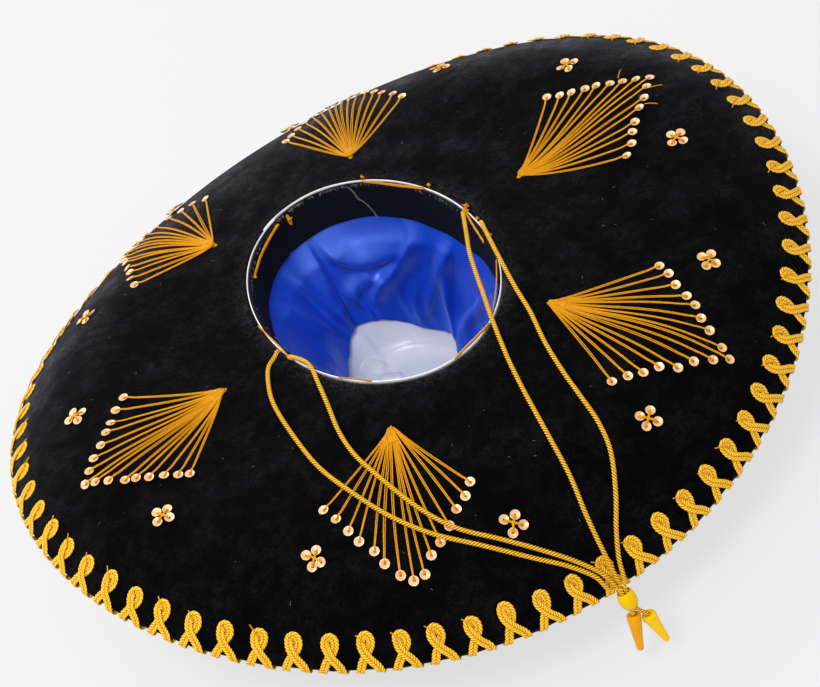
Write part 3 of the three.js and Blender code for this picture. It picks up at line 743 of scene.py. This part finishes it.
def fold_height(theta, depth, crest, height, plus, minus):
    """Height of one fold at points given by angle and depth."""
    scale = np.array([math.radians(1) * LINING_RADIUS, 1.0])
    line = smooth_path([np.append(np.array(spot) * scale, 0) for spot in crest], 2.0)[:, :2]
    ahead = unit(np.gradient(line, axis=0))
    around = apart(theta, crest[0][0]) + crest[0][0]
    point = np.stack([around, depth], -1).reshape(-1, 2) * scale
    close = np.flatnonzero(np.abs(point[:, 0] - line[:, 0].mean()) < 110)
    gap = point[close, None] - line[None]
    nearest = np.linalg.norm(gap, axis=-1).argmin(1)
    gap, way = gap[np.arange(len(close)), nearest], ahead[nearest]
    side = way[:, 0] * gap[:, 1] - way[:, 1] * gap[:, 0]
    width = minus + (plus - minus) / (1 + np.exp(-side / 0.8))
    grow = np.interp(nearest / (len(line) - 1), [0, 0.25, 0.75, 1], [0.3, 1, 0.9, 0.2])
    result = np.zeros(len(point))
    result[close] = height * bell(np.linalg.norm(gap, axis=1) / width) * grow
    return result.reshape(theta.shape)


def softened(field, reach):
    """field blurred over that many cells each way; its columns meet again, its rows end."""
    weight = bell(np.linspace(-2, 2, 2 * reach + 1))
    weight /= weight.sum()
    wide = np.pad(np.pad(field, ((0, 0), (reach, reach)), "wrap"), ((reach, reach), (0, 0)), "edge")
    wide = sum(w * wide[:, n:n + field.shape[1]] for n, w in enumerate(weight))
    return sum(w * wide[n:n + field.shape[0]] for n, w in enumerate(weight))


soft = bell(np.linspace(-3, 3, 13))
around = np.linspace(0, 360, LINING_COLUMNS + 1)
hem = np.interp(around[:-1], *np.array(HEM).T, period=360)
hem = np.convolve(np.pad(hem, 6, "wrap"), soft / soft.sum(), "valid")
share = np.linspace(0, 1, LINING_ROWS)[:, None]
theta, depth = np.broadcast_arrays(around[:-1], LINING_TOP + (hem - LINING_TOP) * share)
swell = 1.6 + 2.6 * np.sin(math.pi * share**0.8) + 0.8 * np.sin(np.radians(3 * theta + 40)) * share
swell = swell * np.clip((depth - 24) / 22, 0.1, 1)
for fold in FOLDS:
    swell = swell + fold_height(theta, depth, *fold) * climb(depth, 26, 18)
for a, d, pull in GATHERS:
    swell = swell + pull * bell(np.hypot(apart(theta, a) * 1.3, depth - d) / 9)
swell = swell + 13 * bell(apart(theta, 2) / 16) * climb(depth, 70, 44) ** 1.6  # one lobe hangs over the floor
for count, size in ((11, 0.35), (23, 0.22), (41, 0.12)):
    phase = rng.uniform(0, TURN, 2)
    ripple = np.sin(np.radians(count * theta) + phase[0] + depth / 14 + phase[1])
    swell = swell + size * ripple * climb(depth, 34, 30)
swell = softened(swell, 3)
up = np.gradient(swell, axis=0) / np.gradient(depth, axis=0)  # how far the cloth turns to face the opening
leftward = -np.gradient(swell, axis=1) / (LINING_RADIUS * TURN / LINING_COLUMNS)
back_wall_painted_light = bell((theta - 80) / 32) * fall(depth, 85, 40)
# nap is painted light and shade on the satin: lighter where the cloth faces up to the opening or to the left
# and on the upper back wall, darker in its creases.
nap = np.clip(0.26 + 0.75 * up + 0.35 * leftward + 0.4 * back_wall_painted_light, 0, 1)
front = crown_wall(np.radians(theta), depth, LINING_OUTSIDE + 0.5 + swell)
behind = crown_wall(np.radians(theta), depth, LINING_OUTSIDE + np.maximum(swell, 0))
level = depth.mean(1)
lining = Shape().grid(
    np.concatenate([front, behind[::-1]]), np.concatenate([level, level[::-1], level[:1]]),
    around * LINING_DEGREE,
    loop=(True, True), tone=np.concatenate([nap, nap[::-1]])).build(
    "crown_lining_satin", SATIN, "blue_satin", ["crown_lining"])

# ---- sweatband with its frayed top edge
HEAD_DEGREE = 1.6  # mm round the opening to a degree
deg = np.arange(720) / 2
down = np.linspace(0, 1, 26)[:, None]
seam = deg - 2.9 * down  # the lapped end runs down a little askew
lap = climb(seam, 100.6, 1.2) * fall(seam, 150, 35)
low_edge = 28 + 7 * bell(apart(deg, 350) / 40) - 1.6 * climb(deg, 100, 3) * fall(deg, 190, 40)
high_edge = 0.3 - 2.4 * np.sqrt(np.clip(np.cos(np.radians(deg - 252)), 0, 1))  # lower on the near side
height = high_edge - (high_edge + low_edge) * down
buckle = (0.35 * np.sin(np.radians(5 * deg)) + 0.2 * np.sin(np.radians(17 * deg + 60))) * down
outside, inside = (head_oval(np.radians(deg), offset - buckle, height, 1 - 0.045 * down)
                   for offset in (-1.8, -2.9 - 0.9 * lap))
level = 30 * down[:, 0]
Shape().grid(np.concatenate([outside, inside[::-1]]), np.concatenate([level, level[::-1], [0]]),
             np.append(deg, 360) * HEAD_DEGREE, loop=(True, True)).build(
    "sweatband_cloth", BAND, "band_cloth", ["sweatband"])
fray = Shape()
for n in range(150):
    spread = rng.normal(95, 42) if n % 3 else rng.uniform(0, 360)
    a, reach, bend = math.radians(spread), rng.uniform(1.2, 4.2), rng.uniform(-2.2, 2.2)
    t = np.linspace(0, 1, 7)
    drop = 0.1 - reach * t * rng.uniform(0.3, 1)
    hair = head_oval(a + t * bend / 95, -3.1 - 0.9 * np.sin(t * 2.6) - rng.uniform(0, 0.5) * t, drop)
    tube(fray, hair, np.linspace(0.07, 0.03, 7), 5, tone=rng.random())
wisp = smooth_path(head_oval(np.radians([59.5, 57.5, 56.8, 54, 52.4, 51.2, 50.4]), -3.9,
                             np.array([-1, -6, -11, -16, -20, -25, -29]), np.linspace(1, 0.957, 7)), 0.7)
for shift in (-0.35, 0, 0.4):
    wander = wisp + rng.normal(0, 0.13, wisp.shape) + np.array([shift, 0, 0])
    tube(fray, wander, 0.035 + 0.05 * rng.random(len(wisp)), 5, tone=0.3)
fray.build("sweatband_fray", FRAY, "band_cloth")

# ---- white edge strip, lapped at 109 degrees
turned_by = np.linspace(0, 368, 740)
strip_angle = np.radians(109 - turned_by)
outward = 0.75 * bell(turned_by / 16) - 0.75 * bell((368 - turned_by) / 16)
lean = 0.14 * np.sin(strip_angle * 5 + 1) + 0.1 * np.sin(strip_angle * 11)
section = [(-0.4, -4.6), (-0.46, 0.9), (-0.4, 1.3), (-0.2, 1.46), (0.1, 1.44), (0.3, 1.2), (0.34, 0.7),
           (0.3, -4.6)]
strip = [head_oval(strip_angle, -0.5 + outward + o, z + (lean - 0.5) * (z > 0)) for o, z in section]
Shape().grid(np.stack(strip, 1), np.append(turned_by, 368) * HEAD_DEGREE, np.arange(9)).build(
    "head_ring_strip", WHITE_EDGE, "edge_strip", ["head_ring"])


# ---- stitches that hold band, strip and cords
def on_ring(a, offset, z):
    return head_oval(math.radians(a), offset, z)


def wavy(points, step=0.6, amount=0.08):
    line = smooth_path(points, step)
    return line + rng.normal(0, amount, line.shape)


def knot(shape, centre, size=1.6, thickness=0.42):
    """A small tangle of thread."""
    t = np.linspace(0, TURN * 1.6, 46)
    around = np.stack([np.cos(t * 1.7), np.sin(t * 2.3 + 0.7), 0.8 * np.sin(t * 1.3 + 0.3)], -1)
    tube(shape, centre + around * size * 0.62, thickness, 7, tone=rng.random() * 0.5)
    for _ in range(3):
        way = unit(rng.normal(0, 1, 3) + [0, 0, 0.6])
        tube(shape, centre + way * np.linspace(0, size * 1.9, 6)[:, None], np.linspace(0.28, 0.16, 6), 6)


FLOATS = [  # angles, offsets and heights of the long stitches on the band and over the strip
    ([(101.7, -5, -1.5), (112, -6.2, -2.2), (124, -6, -2.6), (135.8, -4.4, -3)], 0.6),
    ([(51.6, -2.4, 1.4), (44, -3.1, 0.2), (32, -3.3, 0), (21.8, -1.6, 1.6)], 0.55),
    ([(358, -1.6, 1.6), (353, -3.6, 0.4), (347, -4.6, -0.8), (340.5, -4.7, -2.2)], 0.75),
    ([(289.8, 0.6, 1.7), (283, -1.2, 1.6), (275, -1.6, 1.6), (266.5, 0.9, 1.7)], 0.75),
    ([(228, 0.3, 1.8), (222, -0.9, 1.6), (214, 0.2, 1.7)], 0.5),
    ([(167.5, 0.7, 1.8), (175, -0.9, 1.6), (183.1, -1, 1.7), (191.5, 1.4, 1.8)], 0.6),
    ([(326, -1.8, 1.6), (316, -3.4, 0.9), (306, -3.3, 0.9), (296, -1.4, 1.8)], 0.5),
]
KNOTS = [  # angle, offset, height and size
    (94.9, -6.2, -4, 1.5), (135.8, -4.6, -3.6, 1.2), (20.6, 2.1, 2, 1.2), (359.6, 1.6, 2.2, 1.9),
    (358, -0.8, 2.2, 2), (351, 0.6, 2.2, 1.1), (51.8, 1.4, 1.8, 1), (340.3, 0.9, 2, 1),
    (190, 1, 2, 1.2)]
HANGING_LOOP = [(94.9, -4.4, -1.5), (95.6, -6, -5), (95.2, -6.4, -9), (94.2, -5.6, -5), (94.6, -4.2, -1.2)]
stitches = Shape()
for route, thickness in FLOATS:
    for shift in (-0.42, 0.1, 0.5):
        line = [on_ring(a + shift * 0.5, o + shift * 0.35, z + shift) for a, o, z in route]
        tube(stitches, wavy(line), thickness * 0.78, 7, tone=rng.random() * 0.6)
for a, offset, z, size in KNOTS:
    knot(stitches, on_ring(a, offset, z), size)
tube(stitches, wavy([on_ring(*spot) for spot in HANGING_LOOP], 0.5), 0.62, 7, tone=0.2)
stitches.build("edge_stitching_threads", THREAD, "orange_thread", ["edge_stitching"])

# ---- hatband rope round the crown's foot
rope = Shape()
around_head = head_oval(np.linspace(0, TURN, 1801), OUTER_GROWTH + 2.4, -(BRIM_STACK + 3))
twisted(rope, around_head, 2.0, 9.0, 20)
rope.build("hatband_cord_rope", GOLD_ROPE, "gold_braid", ["hatband_cord"])

# ---- rim braid: one ribbon in 76 loops
LOOPS = 76
RIBBON_WIDTH, RIBBON_THICK, RIBBON_STEP = 5.3, 0.8, 0.44
EDGE_BEND = BRIM_STACK / 2 + 1  # mm of ribbon to each radian that it turns round the brim's edge
fine = np.linspace(0, TURN, 7201)
rim_gone = travelled(brim_polar(rim_radius(fine), fine)[0])
ONCE_ROUND = np.array([rim_gone[-1], 0, 0])
PITCH = rim_gone[-1] / LOOPS
FIRST_LOOP = np.interp(math.radians(225), fine, rim_gone)


def on_rim(along, inward, lift):
    """Points beside the rim: inward on the velvet or, where inward is negative, round the edge and back."""
    a = np.interp(along % rim_gone[-1], rim_gone, fine)
    radius, reach = rim_radius(a), np.maximum(inward, 0)
    rim_face, rim_normal = brim_polar(radius, a)
    slope = (brim_polar(radius - reach, a)[0] - rim_face)[:, 2] / np.maximum(reach, 1e-6)
    face, normal = brim_polar(radius - reach / np.hypot(1, slope), a, lift)
    out = np.pad(compass(a), ((0, 0), (0, 1)))
    outward = unit(np.cross(np.cross(rim_normal, out), rim_normal))
    past = np.maximum(-inward, 0)[:, None]
    turn = np.minimum(past / EDGE_BEND, math.pi)
    swing = outward * np.sin(turn) + rim_normal * np.cos(turn)
    wrapped = rim_face - rim_normal * BRIM_STACK / 2 + swing * (BRIM_STACK / 2 + lift)[:, None]
    wrapped += outward * (0.5 - np.maximum(past - EDGE_BEND * math.pi, 0))
    face = face + outward * 0.5 * (1 - climb(inward, 0, 3))[:, None]
    inside = (inward >= 0)[:, None]
    return np.where(inside, face, wrapped), unit(np.where(inside, normal, swing))


LOOP = np.array([  # along the rim, inward from it, and height above the velvet, for one loop of ribbon
    (-5.6, -6.5, 0.6), (-5.3, -3.2, 0.6), (-4.5, 0.2, 0.6), (-2.9, 3.5, 0.6), (-0.8, 6.8, 0.6),
    (1.5, 10, 0.7), (2.9, 13.2, 0.8), (2.2, 16.6, 0.9), (-0.1, 18, 1), (-2.4, 16.6, 1.1), (-3, 13.2, 1.3),
    (-1.9, 9.8, 1.8), (0.3, 6.6, 2.1), (2.9, 3.6, 1.8), (5.3, 0.9, 1.1), (6.8, -2.2, 0.7), (7.5, -6, 0.6),
    (8, -11, 0.6), (9.3, -15.5, 0.6), (11.9, -17.4, 0.6), (14.6, -15.5, 0.6), (15.9, -11, 0.6)])
knots = []
for n in range(LOOPS):
    size = rng.normal(1, 0.035)
    skew = rng.normal(0, 0.45)
    one = LOOP.copy()
    inner = np.clip(one[:, 1] / 18, 0, 1)
    one[:, 1] = np.where(one[:, 1] > 0, one[:, 1] * size, one[:, 1])
    one[:, 0] += skew * inner + rng.normal(0, 0.16, len(one)) + FIRST_LOOP + n * PITCH
    knots.append(one)
knots = np.concatenate(knots)
line = smooth_path(np.vstack([knots[-1:] - ONCE_ROUND, knots, knots[:2] + ONCE_ROUND]), RIBBON_STEP)
start, stop = (np.linalg.norm(line - spot, axis=1).argmin() for spot in (knots[0], knots[0] + ONCE_ROUND))
centre, normal = on_rim(*line[start:stop].T)
ahead = unit(np.roll(centre, -1, 0) - np.roll(centre, 1, 0))
side = unit(np.cross(ahead, normal))
top = np.cross(side, ahead)
half = RIBBON_WIDTH / 2
RIBS = [(-1, 0), (-0.92, 0.7), (-0.7, 1.15), (-0.42, 1.1), (-0.16, 0.72), (0, 0.3), (0.16, 0.72), (0.42, 1.1),
        (0.7, 1.15), (0.92, 0.7), (1, 0), (0.9, -0.85), (0.5, -1), (0, -1), (-0.5, -1), (-0.9, -0.85)]
section = np.array(RIBS) * [half, RIBBON_THICK / 2]
gone = np.arange(len(centre) + 1) * RIBBON_STEP
plait = 0.5 + 0.5 * np.sin(TURN * (gone[:-1, None] * PLAIT + np.abs(section[:, 0]) * SLANT))
tall = section[:, 1] * np.where(section[:, 1] > 0.1, 0.72 + 0.42 * plait, 1)
broad = section[:, 0] * np.where(np.abs(section[:, 0]) > half * 0.85, 0.95 + 0.07 * plait, 1)
points = centre[:, None] + side[:, None] * broad[..., None] + top[:, None] * tall[..., None]
Shape().grid(points, gone, np.append(section[:, 0], section[0, 0]), loop=(True, True)).build(
    "rim_braid_ribbon", RIBBON, "gold_braid", ["rim_braid"])
ends = Shape()
for n in range(LOOPS):
    base = FIRST_LOOP + n * PITCH
    reach = rng.uniform(0.6, 1.15) if n % 5 else 0.35
    a, b = np.array([-0.8, 15.4, 1.9]), np.array([-0.8 - 5.6 * reach, 15.4 + 4.6 * reach, 0.5])
    stops = [a + [1.6, -2.0, -0.3], a, (a + b) / 2 + [0, 0.3, 0.25], b]
    route = smooth_path(np.array(stops) + [base, 0, 0], 0.5)
    line, _ = on_rim(*route.T)
    tube(ends, line, np.linspace(0.55, 0.38, len(line)), 7, tone=rng.random() * 0.6)
ends.build("rim_braid_stitches", THREAD, "orange_thread")

# ---- fans of thread and sequins
RAYS, TIP_RAY, RAY_POINTS, SEQUIN = 16, 7, 34, 3.1  # SEQUIN is a radius in mm
NUDGED = np.array([-6.0, 0.0])  # the front left fan's end sequin sits beside its neighbour


def sequin(shape, centre, normal, tone):
    """A cupped sequin, its hole in the middle and a faceted wall."""
    tilt = unit(normal + rng.normal(0, 0.09, 3))
    side = unit(np.cross(tilt, [0.2, 1, 0.1]))
    turn = circle(32) + rng.uniform(0, TURN)
    ring = spokes(turn, side, np.cross(tilt, side))
    facet = 1 - 0.035 * (1 - np.cos(8 * turn))[:, None]
    profile = [(0.5, 0.1), (1.25, 0.12), (2.1, 0.5), (2.95, 0.92), (SEQUIN, 1.02), (SEQUIN + 0.02, 0.92),
               (2.15, 0.36), (1.3, 0), (0.5, 0)]
    points = np.array([centre + tilt * z + ring * r * (facet if 1.3 < r < 3 else 1) for r, z in profile])
    shape.grid(points, loop=(True, True), tone=tone)


def on_fan(turn, spot, lift):
    """Points over the velvet and their normals; a spot is (out along the fan's middle, aside from it)."""
    x, y = (FAN_CENTRE + spot[..., :1] * compass(turn) + spot[..., 1:] * compass(turn + TURN / 4)).T
    return brim(x, y, lift)


def straight(begin, end, count):
    return begin + (end - begin) * np.linspace(0, 1, count)[:, None]


def make_fan(name, turn, apex, rim_shift):
    """Rays of two plies from the apex to a line of sequins, and the knot that they dive into."""
    threads, discs = Shape(), Shape()
    rays = RAYS - 1 if name == "front_left" else RAYS
    for ray in range(rays):
        near = ray <= TIP_RAY
        f = ray / TIP_RAY if near else (rays - 1 - ray) / (rays - 1 - TIP_RAY)
        aside = FAN_SIDE[1] * (1 - f)
        end = np.array([FAN_SIDE[0] + (FAN_TIP - FAN_SIDE[0]) * f + rim_shift, -aside if near else aside])
        end += rng.normal(0, 0.7, 2) + (NUDGED if (name, ray) == ("front_left", TIP_RAY) else 0)
        spread = (ray / (rays - 1) - 0.5) * 2
        begin = np.array([apex + rng.uniform(-0.8, 1.6) - 1.2 * (1 - spread**2), spread * 1.9])
        way = unit(end - begin)
        seat, normal = on_fan(turn, end, 0.75)
        sequin(discs, seat, normal, rng.random())
        t = np.linspace(0, 1, RAY_POINTS)
        bow = rng.normal(0, 0.5)
        for ply in (-1, 1):
            split = ply * (0.36 + 0.28 * rng.random()) * (0.55 + 0.45 * np.sin(math.pi * t))
            off = (split + bow * np.sin(math.pi * t))[:, None]
            flat = straight(begin, end, RAY_POINTS) + off * [-way[1], way[0]]
            lift = 0.55 + 0.75 * bell(t * 9) * (1 + 0.5 * (ray % 3)) + 0.9 * climb(t, 0.9, 0.05)
            lift = lift * np.where(t > 0.985, 0.9, 1) + 0.25 * rng.random()
            thread(threads, on_fan(turn, flat, lift)[0], 0.34)
        thread(threads, on_fan(turn, end, np.linspace(1.7, 0.6, 4))[0], 0.42)
    for spread in np.linspace(-1, 1, 9):
        begin = np.array([apex - 3.2 + 1.2 * abs(spread), spread * 0.9])
        line = straight(begin, np.array([apex + 9, spread * 2.6]), 12)
        lift = 0.3 + 1.1 * np.sin(np.linspace(0.15, 1, 12) * math.pi * 0.55) - 0.15 * spread**2
        thread(threads, on_fan(turn, line, lift)[0], 0.42)
    if name == "right":  # three loose ends past the sequins
        for u, v, a in ((214, -18, -0.9), (226, -8, -0.5), (219, 17, 0.7)):
            flat = [u, v] + np.outer(np.linspace(0, 9, 9), compass(a))
            thread(threads, on_fan(turn, flat, 0.7 + 0.5 * np.sin(np.linspace(0, 3, 9)))[0], 0.3)
    threads.build(f"fan_{name}_threads", THREAD, "orange_thread", [f"fan_{name}"])
    discs.build(f"fan_{name}_sequins", PEACH, "sequin")


def make_flower(name, centre):
    """Four sequins round a cross of double stitches."""
    petals, cross = Shape(), Shape()
    first = rng.uniform(0, TURN / 4)
    t = np.linspace(0, 1, 12)
    for n in range(4):
        way = compass(first + n * TURN / 4 + rng.normal(0, 0.12))
        spot = centre + way * rng.uniform(4.5, 5.6)
        seat, normal = brim(*spot, 0.75)
        sequin(petals, seat, normal, rng.random())
        lift = np.interp(t, [0, 0.25, 0.6, 0.9, 1], [1.4, 1.7, 2.1, 1.4, 0.7]) + 0.1 * n
        for ply in (-0.3, 0.3):
            flat = straight(centre - way * 0.8, spot, 12) + np.array([-way[1], way[0]]) * ply
            thread(cross, brim(*flat.T, lift)[0], 0.42)
    petals.build(f"flower_{name}_sequins", PEACH, "sequin", [f"flower_{name}"])
    cross.build(f"flower_{name}_stitches", THREAD, "orange_thread")


for name, (angle, slip, apex_shift, rim_shift) in FANS.items():
    make_fan(name, math.radians(angle + slip), FAN_APEX + apex_shift, rim_shift)
    for letter, swing in (("a", -FLOWER_SWING), ("b", FLOWER_SWING)):
        make_flower(f"{name}_{letter}", FAN_CENTRE + FLOWER_RING * compass(math.radians(angle + swing)))

# ---- lint and loose hairs on the velvet
hairs = Shape()
for _ in range(90):
    a, r = rng.uniform(0, TURN), rng.uniform(125, 250)
    if r > rim_radius(a) - 24:
        continue
    way, length = rng.uniform(0, TURN), rng.uniform(0.8, 3.2)
    heading = way + np.cumsum(rng.normal(0, 0.35, 8))
    path = r * compass(a) + np.cumsum(compass(heading) * length / 8, axis=0)
    route, _ = brim(*path.T, 0.25 + 0.35 * np.sin(np.linspace(0, math.pi, 8)))
    tube(hairs, route, 0.045, 4, tone=rng.random())
hairs.build("velvet_lint", FRAY, "black_velvet")

# ---- floor, light and finish
paper = Paint("pale_floor")
grey = paper.mix(paper.noise(9, 2), (0.15, 0.15, 0.15), (0.155, 0.155, 0.155))
paper.finish(grey, Roughness=0.9, Specular_IOR_Level=0, Emission_Color=(1, 1, 1), Emission_Strength=0.68)
square = bpy.data.meshes.new("floor")
square.from_pydata([(-6, -6, 0), (6, -6, 0), (6, 6, 0), (-6, 6, 0)], [], [(0, 1, 2, 3)])
square.materials.append(paper.material)
floor = bpy.data.objects.new("floor", square)
scene.collection.objects.link(floor)
floor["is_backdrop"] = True

world = bpy.data.worlds.new("studio")
world.use_nodes = True
sky = world.node_tree.nodes["Background"].inputs
sky["Color"].default_value, sky["Strength"].default_value = (1, 1, 1, 1), 0.8
scene.world = world


def softbox(name, place, aim, size, power):
    light = bpy.data.lights.new(name, "AREA")
    light.shape, light.size, light.energy = "DISK", size, power
    lamp = bpy.data.objects.new(name, light)
    turned = (Vector(place) - Vector(aim)).to_track_quat("Z", "Y")
    lamp.matrix_world = Matrix.Translation(place) @ turned.to_matrix().to_4x4()
    scene.collection.objects.link(lamp)


softbox("key", (-0.75, -0.75, 1.9), (0, 0, 0.1), 0.7, 26)
softbox("back", (-0.5, 1.3, 1.3), (0, 0, 0.1), 0.9, 16)
scene.view_settings.view_transform = "Standard"

size = {"cad": cad_box, "visual": [[float(v) for v in corner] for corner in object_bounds()]}
